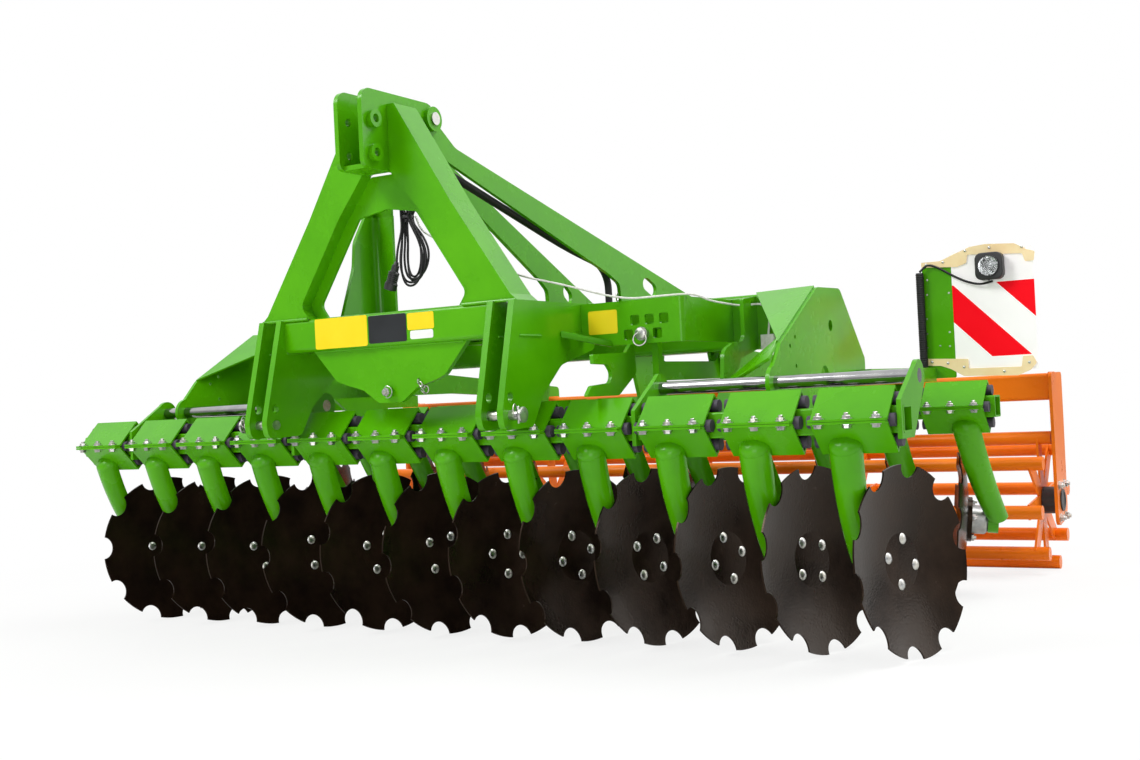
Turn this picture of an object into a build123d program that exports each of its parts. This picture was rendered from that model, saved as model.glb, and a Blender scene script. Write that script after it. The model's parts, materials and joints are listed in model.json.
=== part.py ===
"""Compact disc harrow, three metres wide, three-point mounted, with a tube roller.

Millimetres. -Y points to the tractor, +Z up, and +X to the right of someone who stands at
the tractor's end and looks at the harrow. The origin is on the floor, in the middle of the
machine. Distances named *_back are measured rearwards from the front disc row.
"""
from math import cos, radians, sin, sqrt, tan
import os

from build123d import *

# Overall reach, which sets the origin
tower_front_back = -447
roller_back = 1750
roller_d = 520
tube_count = 8
tube_r = 25
tube_circle_r = roller_d / 2 - tube_r
roller_phase = 6
roller_z = tube_circle_r * cos(radians(roller_phase)) + tube_r
middle_back = (tower_front_back + roller_back + roller_z) / 2


def at(back):
    """Model Y of a place that lies this far behind the front disc row."""
    return back - middle_back


# Discs: dished, with round notches, each on its own hub
disc_count = 12
disc_pitch = 250
disc_d = 510
disc_t = 5
disc_dish = 35
disc_flat_d = 150
disc_steer = 16.5
disc_tilt = 5
notch_count = 10
notch_r = 38
notch_centre_r = 258
row_gap = 1114
row_stagger = disc_pitch / 4
floor_gap = 0.3
disc_z = disc_d / 2 * cos(radians(disc_tilt)) - (disc_dish - disc_t) * sin(radians(disc_tilt)) + floor_gap
# How far each front disc is turned on its hub, from the left one to the right one, in degrees
disc_phase = (175, 172, 169, 143, 161, 147, 89, 107, 60, 107, 130, 81)

# Hubs, on the hollow side's back: turning flange, then the fixed housing on the arm
flange_d = 150
flange_t = 12
hub_gap = 0.4
hub_d = 96
hub_l = 52
hub_bevel = 10
hub_relief = 2
boss_d = 84
boss_l = 34

# Gang beams: upright square tubes
beam_size = 70
beam_wall = 6
beam_ahead = 176
beam_z = 634
beam_end = 28

# Clamps: two folded half-shells round the beam, with four rubber cords in the corners.
# The gap between two clamps has room for a hanger between the ends of their cords
hanger_t = 14
rubber_overhang = 14
end_clearance = 3
clamp_l = disc_pitch - hanger_t - 2 * (rubber_overhang + end_clearance)
clamp_outer = 63
clamp_wall = 6
clamp_corner = 77
clamp_tip = 100
clamp_split = 1
rubber_r = 16.8

# Arms: half tubes from the clamp down and back to the hub.
# Each row is a section: side of the disc centre, behind it, height, outer radius
arm_wall = 9
arm_lie = (0, 0.62, -0.78)
arm_sections = ((-68, -196, 572, 45), (-84, -120, 420, 42), (-104, 2, 262, 36))

# Guide shafts, on which the front gang slides sideways
shaft_d = 38
shaft_back = -57
shaft_z = 741
shaft_clearance = 0.08
bracket_t = 12
bracket_rim = 14
bracket_toe = 16
bracket_neck = ((-30, 29), (36, -22))
eye_r = 42
gang_travel = 60

# Side plates of the frame: each outline's corners are (distance behind the front discs, height, radius)
side_x = 1125
side_t = 12
side_eye_r = 48
side_outline = ((-95, 757, 0), (-6, 851, 30), (295, 1018, 40), (486, 1022, 40), (690, 808, 20), (690, 770, 20),
                (560, 706, 40), (120, 694, 60), (-57, 694, 0))
side_holes = ((391, 906, 17), (326, 752, 34), (100, 868, 6), (59, 842, 6), (100, 786, 6))
cover_in_x = 907
cover_t = 6
cover_root = 3
cover_lift = (0, -0.5, 0.86)

# Main box across the frame and the beams along it
box_front_back = 368
box_rear_back = 486
box_low_z = 850
frame_top_z = 1018
frame_wall = 8
frame_corner_r = 14
longeron_x = 245
longeron_w = 90
longeron_low_z = 898
longeron_rear_back = 1600
tie_back = 830
tie_w = 80
tie_h = 60

# Front crossbeam between the hitch plates, with a lobed plate below it: (from the middle, height, radius)
cross_front_back = -330
cross_rear_back = -210
cross_low_z = 908
cross_top_z = 1010
lobe_back = -310
lobe_t = 20
lobe_half = ((290, cross_low_z, 0), (205, 812, 30), (172, 800, 20), (100, 779, 20), (44, 739, 36))
lobe_pin_z = 771
lobe_pin_r = 17

# Lower link hitch: a pair of plates on each side
hitch_x = 435
hitch_gap = 52
hitch_t = 20
hitch_pin_r = 14.2
hitch_hole_r = 14.5
hitch_pin_in = 6
hitch_pin_out = 28
hitch_pin_back = -390
hitch_pin_z = 687
hitch_hole_back = -388
hitch_hole_z = 737
hitch_outline = ((-345, cross_top_z, 0), (-432, 690, 60), (-420, 645, 25), (-275, 650, 30), (-215, 740, 60),
                 (-106, 825, 60), (93, 873, 20), (93, cross_top_z, 0))

# Rise of the tower: its corners are drawn for the usual rise and follow the height of its top
clevis_top_z = 1660
drawn_rise = 650
stretch = (clevis_top_z - cross_top_z) / drawn_rise


def on_tower(z):
    """Height of a place drawn at z; what is no higher than the frame stays where it is."""
    return z if z <= frame_top_z else cross_top_z + (z - cross_top_z) * stretch


def tower_corners(*corners):
    """Corners of an outline on the tower, as (from the middle or behind the front discs, height, radius)."""
    return tuple((place, on_tower(z), r * min(stretch, 1)) for place, z, r in corners)


# Top link clevis
clevis_gap = 75
clevis_t = 15
clevis_hole_r = 13
clevis_hole_back = -400
clevis_hole_z = (on_tower(1471), on_tower(1571))
clevis_boss_r = 26
clevis_boss_l = 15
clevis_low_z = on_tower(1425)
clevis_rear_back = -63
clevis_web_back = -322
clevis_web_t = 14
clevis_web_h = 140 * stretch
clevis_floor_l = 100
clevis_outline = tower_corners((tower_front_back, 1660, 40), (clevis_rear_back, 1660, 58),
                               (clevis_rear_back - 24, 1560, 20), (-150, 1545, 20), (-300, 1425, 20),
                               (tower_front_back, 1425, 25))
strut_pin_back = -110
strut_pin_z = on_tower(1612)
strut_pin_r = 20
strut_boss_r = 38
strut_boss_l = 14

# Tower legs: edges of the front plate, from the foot up, as (from the middle, height, radius)
leg_t = 10
leg_depth = 110
leg_web_depth = 45
leg_lip = 42
leg_front_back = -330
clevis_outer = clevis_gap / 2 + clevis_t
leg_inner = tower_corners((290, cross_top_z, 0), (318, 1050, 25), (151, 1304, 20), (clevis_outer, 1425, 20),
                          (clevis_outer, 1625, 0))
leg_outer = tower_corners((480, cross_top_z, 0), (458, 1029, 0), (267, 1314, 60), (79, 1625, 0))
arch_z = on_tower(1322)

# Upright angle on the left longeron, seen through the tower; its front edge, from the foot up, is a
# row of (distance behind the front discs, height, radius)
upright_rear_back = 8
upright_top_z = on_tower(1350)
upright_t = 12
upright_w = 82
upright_fold_r = 30
upright_front = tower_corners((-184, frame_top_z, 0), (-118, 1180, 90), (-108, 1262, 60), (-50, 1350, 0))

# Struts from the tower to the rear of the frame: (distance behind the front discs, height, radius)
strut_t = 15
strut_top_x = 20
strut_eye_r = 40
strut_outline = tower_corners((-148, 1600, 0), (-100, 1528, 30), (-2, 1489, 30), (800, 1172, 20), (868, 1136, 30),
                              (878, frame_top_z, 0), (1584, frame_top_z, 0), (25, 1540, 60), (-72, 1624, 0))
strut_rear_back = 1500
strut_slot = (1056, on_tower(1131), 90, 50 * stretch, -27)

# Roller
tube_end_x = 1478
star_x = (-1430, -715, 0, 715, 1430)
star_t = 8
star_hub_r = 70
spoke_w = 56
stub_r = 22
bearing_r = 50
bearing_gap = 2
cheek_x = 1494
cheek_t = 12
rail_size = 100
rail_wall = 8
rail_back = 1740
rail_z = 683
rail_top_z = rail_z + rail_size / 2
cheek_outline = ((-80, rail_top_z + 2, 20), (100, rail_top_z + 2, 20), (100, 560, 80), (90, 190, 60), (-75, 165, 30),
                 (-75, 520, 60))
lever_x = 700
lever_t = 20
pivot_back = 560
pivot_z = 815
pivot_pin_r = 17.5
pivot_pin_l = 80
pivot_lug_t = 12
pivot_side_gap = 4

# Depth setting plate with its row of holes and the pin
depth_back = 20
depth_t = 12
depth_low_z = 876
depth_top_z = 1006
depth_out_x = 824
depth_hole = 30
depth_hole_rows = ((947, (664, 712, 760)), (905, (641, 689, 737)))
depth_pin_r = 12
depth_pin_l = 62
depth_pin_front = 14
depth_washer_r = 20
lever_outline = ((70, 765, 10), (980, 768, 200), (1690, rail_top_z, 0), (1790, rail_top_z, 0), (1790, 780, 20),
                 (620, 868, 40), (520, 862, 30), (470, 822, 20), (98, 822, 20), (98, 937, 6), (70, 937, 6))
nose_back = 56
nose_size = (128, 36, 20)

# Hooks and hangers: (distance behind the front discs, height, radius)
hook_t = 12
hook_1_x = 640
hook_1_outline = ((-207, 846, 4), (-204, 819, 4), (-124, 817, 20), (-98, 792, 20), (-112, 764, 20), (-221, 757, 20),
                  (-252, 727, 4), (-64, 727, 30), (50, 791, 20), (40, depth_low_z, 0),
                  (depth_back, depth_low_z, 0), (-10, 852, 10))
hook_2_x = 900
hook_2_outline = ((box_front_back, 1012, 0), (266, 1000, 6), (263, 874, 25), (174, 866, 30), (108, 842, 40),
                  (95, 738, 8), (201, 787, 20), (228, 820, 20), (box_front_back, box_low_z, 0))
foot_w = 14
head_reach = (-160, 120)
head_step = 30
lug_outline = ((box_rear_back, 1000, 0), (box_rear_back, box_low_z, 0), (515, 770, 20), (605, 770, 30),
               (605, 860, 30))

# Warning boards, their posts and the pressed holders round them: (from the middle, height, radius)
board_back = 1310
board_in_x = 1252.3
board_w = 282
board_h = 423
board_z = 961
board_t = 3
post_in_x = 1148
post_w = 104
post_z = 931
post_h = 398
post_t = 4
arm_size = 50
arm_z = 746
arm_front_back = 600
holder_t = 5
holder_top = ((post_in_x, 1130, 0), (post_in_x, 1148, 0), (1216, 1148, 30), (1256, 1164, 30), (1321, 1188, 20),
              (1376, 1193, 20), (1475, 1186, 20), (1516, 1161, 10), (1542, 1153, 6), (1537, 1121, 4), (1508, 1121, 4),
              (1500, 1149, 6), (1312, 1162, 6), (1307, 1133, 4), (1273, 1122, 8))
holder_low = ((post_in_x, 779, 0), (post_in_x, 804, 0), (1297, 796, 4), (1297, 762, 4), (1479, 759, 4), (1485, 795, 4),
              (1518, 795, 4), (1530, 770, 8), (1508, 746, 10), (1465, 729, 20), (1279, 736, 20), (1235, 763, 20),
              (1200, 776, 20))
lamp_x = 1393
lamp_z = 1113
lamp_size = 96
lamp_depth = 46

# Cables and the pull rope
conduit_d = 26
lead_d = 8
plug_lead_d = 7
rope_d = 6
plug_d = 40
plug_l = 88
hank_t = 30
hank_outline = tower_corners((40, 1330, 4), (72, 1330, 4), (76, 1298, 20), (128, 1180, 50), (63, 1094, 50),
                             (4, 1180, 60), (38, 1298, 20))
grip_size = (40, 27, 46)
rope_hole_back = 330
rope_hole_z = 985
rope_hole_r = 9

soft_gap = 0.3
os.makedirs("parts", exist_ok=True)


def write(part, label):
    """Name a finished piece and write it as a STEP file."""
    part.label = label
    export_step(part, f"parts/{label}.step")


def disc_centre(side, row):
    """X, Y, Z of a disc's centre; side is its place counted from the left, row is front or rear."""
    shift = row_stagger if row == "front" else -row_stagger
    back = 0 if row == "front" else row_gap
    return ((side - (disc_count - 1) / 2) * disc_pitch + shift, at(back), disc_z)


def yz(x):
    """Plane across the machine at x, whose local x is +Y and local y is +Z."""
    return Plane(origin=(x, 0, 0), x_dir=(0, 1, 0), z_dir=(1, 0, 0))


def xz(back):
    """Upright plane along X, this far behind the front discs, facing the tractor."""
    return Plane(origin=(0, at(back), 0), x_dir=(1, 0, 0), z_dir=(0, -1, 0))


def outline(points):
    """A side view's corners, given as (distance behind the front discs, height)."""
    return [(at(back), z) for back, z in points]


def rounded(corners, side=1, mode=Mode.ADD):
    """Face inside corners given as (across, up, corner radius); side -1 mirrors it across."""
    with BuildLine() as border:
        FilletPolyline(*[(side * a, b) for a, b, _ in corners], radius=[r for *_, r in corners], close=True)
    make_face(border.edges(), mode=mode)


def side_view(corners):
    """The same corners in model Y, from (distance behind the front discs, height, radius)."""
    return [(at(back), z, r) for back, z, r in corners]


def round_hole(across, up, r):
    """Hole in the sketch that is being drawn."""
    with Locations((across, up)):
        Circle(r, mode=Mode.SUBTRACT)


def cord(points, diameter):
    """Round cord through places given as (across, behind the front discs, height), with wide tangent arcs."""
    places = [Vector(x, at(back), z) for x, back, z in points]
    radii = []
    for before, corner, after in zip(places, places[1:], places[2:]):
        run_in, run_out = corner - before, after - corner
        radii.append(0.45 * min(run_in.length, run_out.length) / tan(radians(run_in.get_angle(run_out)) / 2))
    with BuildPart() as tube:
        with BuildLine() as route:
            if radii:
                FilletPolyline(*places, radius=radii)
            else:
                Line(*places)
        with BuildSketch(Plane(origin=places[0], z_dir=places[1] - places[0])):
            Circle(diameter / 2)
        sweep()
    section = 3.14159 * diameter**2 / 4
    length = sum(edge.length for edge in route.line.edges())
    print(f"cord {diameter} mm, {length:.0f} mm long, radii {[round(r) for r in radii]},",
          f"volume over section times length {tube.part.volume / section / length:.4f}")
    return tube.part


# Disc axis: it points out of the hollow face, forwards and slightly up
steer = radians(disc_steer)
tilt = radians(disc_tilt)
axis_front = Vector(cos(steer) * cos(tilt), -sin(steer) * cos(tilt), sin(tilt))
level_front = Vector(sin(steer), cos(steer), 0)
axis_rear = Vector(-axis_front.X, axis_front.Y, axis_front.Z)
level_rear = Vector(-level_front.X, level_front.Y, level_front.Z)
front_plane = Plane(origin=(0, 0, 0), x_dir=level_front, z_dir=axis_front)

# One disc about Z, hollow side up, with its hub flange behind it
dish_c = (disc_dish**2 + (disc_d / 2) ** 2 - (disc_flat_d / 2) ** 2) / (2 * disc_dish)
dish_r = sqrt(dish_c**2 + (disc_flat_d / 2) ** 2)
with BuildPart() as disc_blank:
    with BuildSketch(Plane.XZ):
        with BuildLine():
            flat_r = disc_flat_d / 2
            rim_r = disc_d / 2
            mid_r = (flat_r + rim_r) / 2
            inner = dish_c - sqrt(dish_r**2 - mid_r**2)
            Polyline((0, 0), (flat_r, 0))
            ThreePointArc((flat_r, 0), (mid_r, inner), (rim_r, disc_dish))
            Line((rim_r, disc_dish), (rim_r + 1, disc_dish - disc_t))
            ThreePointArc((rim_r + 1, disc_dish - disc_t), (mid_r, inner - disc_t), (flat_r, -disc_t))
            Polyline((flat_r, -disc_t), (flange_d / 2, -disc_t - flange_t), (0, -disc_t - flange_t), (0, 0))
        make_face()
    revolve(axis=Axis.Z)
    with PolarLocations(notch_centre_r, notch_count):
        Cylinder(notch_r, 3 * disc_dish, mode=Mode.SUBTRACT)

for number in range(disc_count):
    turn = radians(disc_phase[number])
    for row, axis, level, side in (
        ("front", axis_front, level_front, number),
        ("rear", axis_rear, level_rear, disc_count - 1 - number),
    ):
        up = axis.cross(level) if row == "front" else level.cross(axis)
        x_dir = level * cos(turn) + up * sin(turn)
        seat = Plane(origin=disc_centre(side, row), x_dir=x_dir, z_dir=axis)
        with BuildPart() as disc:
            with Locations(seat.location):
                add(disc_blank.part)
        write(disc.part, f"disc_{row}_{side + 1:02d}")

# Hub housing and axle boss behind one disc, stepped, from the flange's face to the arm
hub_start = disc_t + flange_t + hub_gap
with BuildPart() as hub_blank:
    with BuildSketch(front_plane.offset(-hub_start)):
        Circle(hub_d / 2)
    extrude(amount=-hub_l)
    chamfer(hub_blank.faces().filter_by(GeomType.PLANE).sort_by(Axis.X)[0].edges(), hub_bevel)

# Arm: half tube, open to the rear, from the clamp's lower shell to the axle boss
with BuildPart() as arm_blank:
    for side, back, height, outer_r in arm_sections:
        with BuildSketch(Plane(origin=(side, back, height), x_dir=(1, 0, 0), z_dir=arm_lie)):
            Circle(outer_r)
            Circle(outer_r - arm_wall, mode=Mode.SUBTRACT)
            with Locations((0, -outer_r)):
                Rectangle(4 * outer_r, 2 * outer_r, mode=Mode.SUBTRACT)
    loft()


def shell_profile(up):
    """One folded half-shell of a clamp, seen along the beam: up is 1 for the upper, -1 for the lower."""
    low = clamp_split / 2
    ridge = clamp_corner + clamp_wall * sqrt(2)
    half = (
        (0, ridge),
        (low + clamp_wall - ridge, low + clamp_wall),
        (-clamp_tip, low + clamp_wall),
        (-clamp_tip, low),
        (low - clamp_corner, low),
        (0, clamp_corner),
    )
    other = [(-y, z) for y, z in reversed(half[1:5])]
    return [(y, up * z) for y, z in (*half, *other)]


# The folded shells of one clamp; the lower one carries the arm and its axle boss
with BuildPart() as cap_blank:
    with BuildSketch(yz(clamp_outer - clamp_l)):
        with Locations((-beam_ahead, beam_z)):
            Polygon(*shell_profile(1), align=None)
    extrude(amount=clamp_l)

boss_plane = front_plane.offset(-hub_start - hub_l - soft_gap)
boss_plane = Plane(boss_plane.origin + Vector(0, 0, disc_z), boss_plane.x_dir, boss_plane.z_dir)
with BuildPart() as arm_and_shell:
    with BuildSketch(yz(clamp_outer - clamp_l)):
        with Locations((-beam_ahead, beam_z)):
            Polygon(*shell_profile(-1), align=None)
    extrude(amount=clamp_l)
    add(arm_blank.part)
    with BuildSketch(yz(clamp_outer - clamp_l)):
        with Locations((-beam_ahead, beam_z)):
            Polygon((-clamp_corner, 0), (0, clamp_corner), (clamp_corner, 0), (0, -clamp_corner), align=None)
    extrude(amount=clamp_l, mode=Mode.SUBTRACT)
    with BuildSketch(boss_plane):
        Circle(hub_d / 2 + hub_relief)
    extrude(amount=hub_l + hub_relief, mode=Mode.SUBTRACT)
    with BuildSketch(boss_plane):
        Circle(boss_d / 2)
    extrude(amount=-boss_l)

with BuildPart() as rubber_blank:
    reach = beam_size / 2 + soft_gap + rubber_r
    with BuildSketch(yz(clamp_outer - clamp_l - rubber_overhang)):
        with Locations((-beam_ahead, beam_z)):
            with PolarLocations(reach, 4):
                Circle(rubber_r)
    extrude(amount=clamp_l + 2 * rubber_overhang)

blanks = {
    "clamp_caps": cap_blank.part,
    "disc_arms": arm_and_shell.part,
    "hubs": hub_blank.part.moved(Location((0, 0, disc_z))),
    "rubbers": rubber_blank.part,
}
for name, blank in blanks.items():
    for row in ("front", "rear"):
        shape = blank if row == "front" else mirror(blank, about=Plane.YZ)
        with BuildPart() as copies:
            for side in range(disc_count):
                x, y, z = disc_centre(side, row)
                with Locations((x, y, 0)):
                    add(shape)
        write(copies.part, f"{row}_{name}")

beam_reach = (disc_count - 1) / 2 * disc_pitch + row_stagger + clamp_outer + beam_end
beam_short = (disc_count - 1) / 2 * disc_pitch - row_stagger + clamp_l - clamp_outer + beam_end
for row, back, start in (("front", -beam_ahead, -beam_short), ("rear", row_gap - beam_ahead, -beam_reach)):
    with BuildPart() as beam:
        with BuildSketch(yz(start)):
            with Locations((at(back), beam_z)):
                RectangleRounded(beam_size, beam_size, 6)
                Rectangle(beam_size - 2 * beam_wall, beam_size - 2 * beam_wall, mode=Mode.SUBTRACT)
        extrude(amount=beam_reach + beam_short)
    write(beam.part, f"{row}_gang_beam")

# Guide shafts and the brackets that carry them on the front gang, in the gaps between clamps
gap_x = [disc_centre(side, "front")[0] + disc_pitch / 2 - (clamp_l / 2 - clamp_outer)
         for side in range(disc_count)]
end_bracket_x = gap_x[-1] - (disc_pitch - clamp_l) / 2 + rubber_overhang + bracket_t / 2 + 1
shaft_spans = ((gap_x[0], gap_x[3]), (gap_x[8], end_bracket_x))
with BuildPart() as shafts:
    for left, right in shaft_spans:
        with BuildSketch(yz(left - bracket_t / 2)):
            with Locations((at(shaft_back), shaft_z)):
                Circle(shaft_d / 2)
        extrude(amount=right - left + bracket_t)
write(shafts.part, "guide_shafts")

with BuildPart() as brackets:
    for x in (*shaft_spans[0], *shaft_spans[1]):
        half = beam_size / 2
        with BuildSketch(yz(x - bracket_t / 2)):
            with Locations((at(shaft_back), shaft_z)):
                Circle(eye_r)
            Polygon(
                *outline((
                    (-beam_ahead - half - bracket_rim, beam_z - half - bracket_rim),
                    (-beam_ahead - half - bracket_rim, beam_z + half + bracket_rim),
                    *[(shaft_back + back, shaft_z + up) for back, up in bracket_neck],
                    (-beam_ahead + half + bracket_toe, beam_z - half - bracket_rim),
                )),
                align=None,
            )
            with Locations((at(-beam_ahead), beam_z)):
                Rectangle(beam_size + 0.1, beam_size + 0.1, mode=Mode.SUBTRACT)
            with Locations((at(shaft_back), shaft_z)):
                Circle(shaft_d / 2 + 0.05, mode=Mode.SUBTRACT)
        extrude(amount=bracket_t)
write(brackets.part, "shaft_brackets")

# Frame side plates, with the bore for the guide shaft, and the sloping covers behind their front edge
inside = side_x - side_t / 2
shaft_eye = (at(shaft_back), shaft_z)
with BuildPart() as side_plates:
    for s in (-1, 1):
        with BuildSketch(yz(s * side_x - side_t / 2)):
            rounded(side_view(side_outline))
            with Locations(shaft_eye):
                Circle(side_eye_r)
            round_hole(*shaft_eye, shaft_d / 2 + shaft_clearance)
            for back, z, r in side_holes:
                round_hole(at(back), z, r)
        extrude(amount=side_t)
        inner_corner = Vector(s * cover_in_x, at(box_front_back), frame_top_z)
        top_corner = Vector(s * (inside + cover_root), at(side_outline[2][0]), frame_top_z)
        low_corner = Vector(s * (inside + cover_root), at(side_outline[1][0]), side_outline[1][1])
        cover = Face(Wire.make_polygon([inner_corner, top_corner, low_corner], close=True))
        extrude(cover, amount=cover_t, dir=cover_lift)
write(side_plates.part, "side_plates")


def box_tube(plane, across, middle_z, width, height, length):
    """Square-cornered hollow section with rounded edges, from the plane along its normal."""
    with BuildSketch(plane) as section:
        with Locations((across, middle_z)):
            RectangleRounded(width, height, frame_corner_r)
            Rectangle(width - 2 * frame_wall, height - 2 * frame_wall, mode=Mode.SUBTRACT)
    extrude(section.sketch, amount=length)


with BuildPart() as main_box:
    box_tube(yz(-inside), at((box_front_back + box_rear_back) / 2), (box_low_z + frame_top_z) / 2,
             box_rear_back - box_front_back, frame_top_z - box_low_z, 2 * inside)
write(main_box.part, "main_box_beam")

with BuildPart() as longerons:
    for s in (-1, 1):
        for start, end in ((cross_rear_back, box_front_back), (box_rear_back, longeron_rear_back)):
            box_tube(xz(end), s * longeron_x, (longeron_low_z + frame_top_z) / 2, longeron_w,
                     frame_top_z - longeron_low_z, end - start)
    with Locations((0, at(tie_back), frame_top_z - tie_h / 2)):
        Box(2 * longeron_x - longeron_w, tie_w, tie_h)
write(longerons.part, "longerons")

cross_half = hitch_x - hitch_gap / 2 - hitch_t
with BuildPart() as crossbeam:
    with BuildSketch(yz(-cross_half)):
        with Locations((at((cross_front_back + cross_rear_back) / 2), (cross_low_z + cross_top_z) / 2)):
            RectangleRounded(cross_rear_back - cross_front_back, cross_top_z - cross_low_z, frame_corner_r)
    extrude(amount=2 * cross_half)
    with BuildSketch(xz(lobe_back + lobe_t)):
        rounded((*[(-x, z, r) for x, z, r in lobe_half], *reversed(lobe_half)))
    extrude(amount=lobe_t)
    with BuildSketch(xz(lobe_back + lobe_t)):
        with Locations((0, lobe_pin_z)):
            Circle(lobe_pin_r)
    extrude(amount=2 * lobe_t)
write(crossbeam.part, "front_crossbeam")

with BuildPart() as hitch_plates:
    for s in (-1, 1):
        for x in (hitch_x - (hitch_gap + hitch_t) / 2, hitch_x + (hitch_gap + hitch_t) / 2):
            with BuildSketch(yz(s * x - hitch_t / 2)):
                rounded(side_view(hitch_outline))
                round_hole(at(hitch_pin_back), hitch_pin_z, hitch_pin_r + 0.05)
                round_hole(at(hitch_hole_back), hitch_hole_z, hitch_hole_r)
            extrude(amount=hitch_t)
write(hitch_plates.part, "hitch_plates")

# Top link clevis: two plates with bosses, floor and web
with BuildPart() as clevis:
    for s in (-1, 1):
        with BuildSketch(yz(s * clevis_gap / 2)):
            rounded(side_view(clevis_outline))
        extrude(amount=s * clevis_t)
        for z in clevis_hole_z:
            with BuildSketch(yz(s * clevis_outer)):
                with Locations((at(clevis_hole_back), z)):
                    Circle(clevis_boss_r)
            extrude(amount=s * clevis_boss_l)
        with BuildSketch(yz(s * clevis_outer)):
            with Locations((at(strut_pin_back), strut_pin_z)):
                Circle(strut_boss_r)
        extrude(amount=s * strut_boss_l)
    with Locations((0, at(clevis_web_back - clevis_web_t / 2 - clevis_floor_l / 2),
                    clevis_low_z + clevis_web_t / 2)):
        Box(clevis_gap, clevis_floor_l, clevis_web_t)
    with Locations((0, at(clevis_web_back), clevis_low_z + clevis_web_h / 2)):
        Box(clevis_gap, clevis_web_t, clevis_web_h)
    for z in clevis_hole_z:
        with Locations((0, at(clevis_hole_back), z)):
            Cylinder(clevis_hole_r, 4 * clevis_gap, rotation=(0, 90, 0), mode=Mode.SUBTRACT)
    with Locations((0, at(strut_pin_back), strut_pin_z)):
        Cylinder(strut_pin_r + 0.05, 4 * clevis_gap, rotation=(0, 90, 0), mode=Mode.SUBTRACT)
write(clevis.part, "top_link_clevis")

# Tower legs: folded channels with a broad front plate, a deep outer flange, and an inner web that
# ends in a lip; the lips of both legs are one sheet, arched under the clevis
lip_back = leg_front_back + leg_web_depth
window = [(x - leg_lip, z, r) for x, z, r in leg_inner[:3]]
sheet = [(x + leg_t / 2, z, r) for x, z, r in leg_inner[:3]] + [(clevis_outer, clevis_low_z - soft_gap, 0)]
with BuildPart() as tower:
    for s in (-1, 1):
        with BuildSketch(xz(leg_front_back)):
            rounded((*leg_inner, *reversed(leg_outer)), s)
        extrude(amount=-leg_t)
        for edge, inwards, depth in ((leg_inner, 1, leg_web_depth), (leg_outer, -1, leg_depth)):
            band = [(x + inwards * leg_t, z, r) for x, z, r in edge]
            with BuildSketch(xz(leg_front_back)):
                rounded((*edge, *reversed(band)), s)
            extrude(amount=-depth)
    with BuildSketch(xz(lip_back)):
        rounded((*[(-x, z, r) for x, z, r in sheet], *reversed(sheet)))
        rounded((*[(-x, z, r) for x, z, r in window], (0, arch_z, 60), *reversed(window)), mode=Mode.SUBTRACT)
    extrude(amount=-leg_t)
upright_x = -longeron_x - upright_w / 2
with BuildPart() as upright:
    with BuildSketch(Plane.XY.offset(frame_top_z)):
        with BuildLine():
            FilletPolyline((upright_x + upright_t / 2, at(upright_front[0][0])),
                           (upright_x + upright_t / 2, at(upright_rear_back) - upright_t / 2),
                           (upright_x + upright_w, at(upright_rear_back) - upright_t / 2), radius=upright_fold_r)
            offset(amount=upright_t / 2, side=Side.BOTH)
        make_face()
    extrude(amount=upright_top_z - frame_top_z)
    with BuildSketch(yz(upright_x - 1)):
        rounded(side_view((*upright_front, (upright_rear_back + 1, upright_top_z, 0),
                           (upright_rear_back + 1, frame_top_z, 0))))
    extrude(amount=upright_w + 2, mode=Mode.INTERSECT)
write(Compound([*tower.part.solids(), *upright.part.solids()]), "tower_frame")

# Struts: upright plates from the pin behind the clevis to the rear of the beams
with BuildPart() as struts:
    for s in (-1, 1):
        plan = Vector(s * (longeron_x - strut_top_x), strut_rear_back - strut_pin_back, 0).normalized()
        start = Vector(s * strut_top_x, at(strut_pin_back), 0)
        plane = Plane(origin=start, x_dir=plan, z_dir=plan.cross(Vector(0, 0, 1)))
        slot_back, slot_z, slot_l, slot_w, slot_turn = strut_slot
        with BuildSketch(plane):
            rounded([(back - strut_pin_back, z, r) for back, z, r in strut_outline])
            with Locations((0, strut_pin_z)):
                Circle(strut_eye_r)
            with Locations(Location((slot_back - strut_pin_back, slot_z), slot_turn)):
                SlotOverall(slot_l, slot_w, mode=Mode.SUBTRACT)
        extrude(amount=strut_t / 2, both=True)
    with Locations((0, at(strut_pin_back), strut_pin_z)):
        Cylinder(strut_pin_r + 0.05, 4 * clevis_gap, rotation=(0, 90, 0), mode=Mode.SUBTRACT)
write(struts.part, "struts")

# Pins: lower links, struts, roller levers, and the two that limit the levers in the depth plates
reach = hitch_gap / 2 + hitch_t
pin_x = depth_hole_rows[1][1][1]
pin_z = depth_hole_rows[1][0]
with BuildPart() as pins:
    for s in (-1, 1):
        with BuildSketch(yz(s * (hitch_x - reach - hitch_pin_in))):
            with Locations((at(hitch_pin_back), hitch_pin_z)):
                Circle(hitch_pin_r)
        extrude(amount=s * (2 * reach + hitch_pin_in + hitch_pin_out))
        with Locations((s * lever_x, at(pivot_back), pivot_z)):
            Cylinder(pivot_pin_r, pivot_pin_l, rotation=(0, 90, 0))
        with BuildSketch(xz(depth_back - depth_pin_front + depth_pin_l)):
            with Locations((s * pin_x, pin_z)):
                Circle(depth_pin_r)
        extrude(amount=depth_pin_l)
        with BuildSketch(xz(depth_back - soft_gap)):
            with Locations((s * pin_x, pin_z)):
                Circle(depth_washer_r)
        extrude(amount=depth_pin_front - soft_gap)
    with Locations((0, at(strut_pin_back), strut_pin_z)):
        Cylinder(strut_pin_r, 2 * (clevis_outer + strut_boss_l) + 12, rotation=(0, 90, 0))
write(pins.part, "frame_pins")

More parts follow.
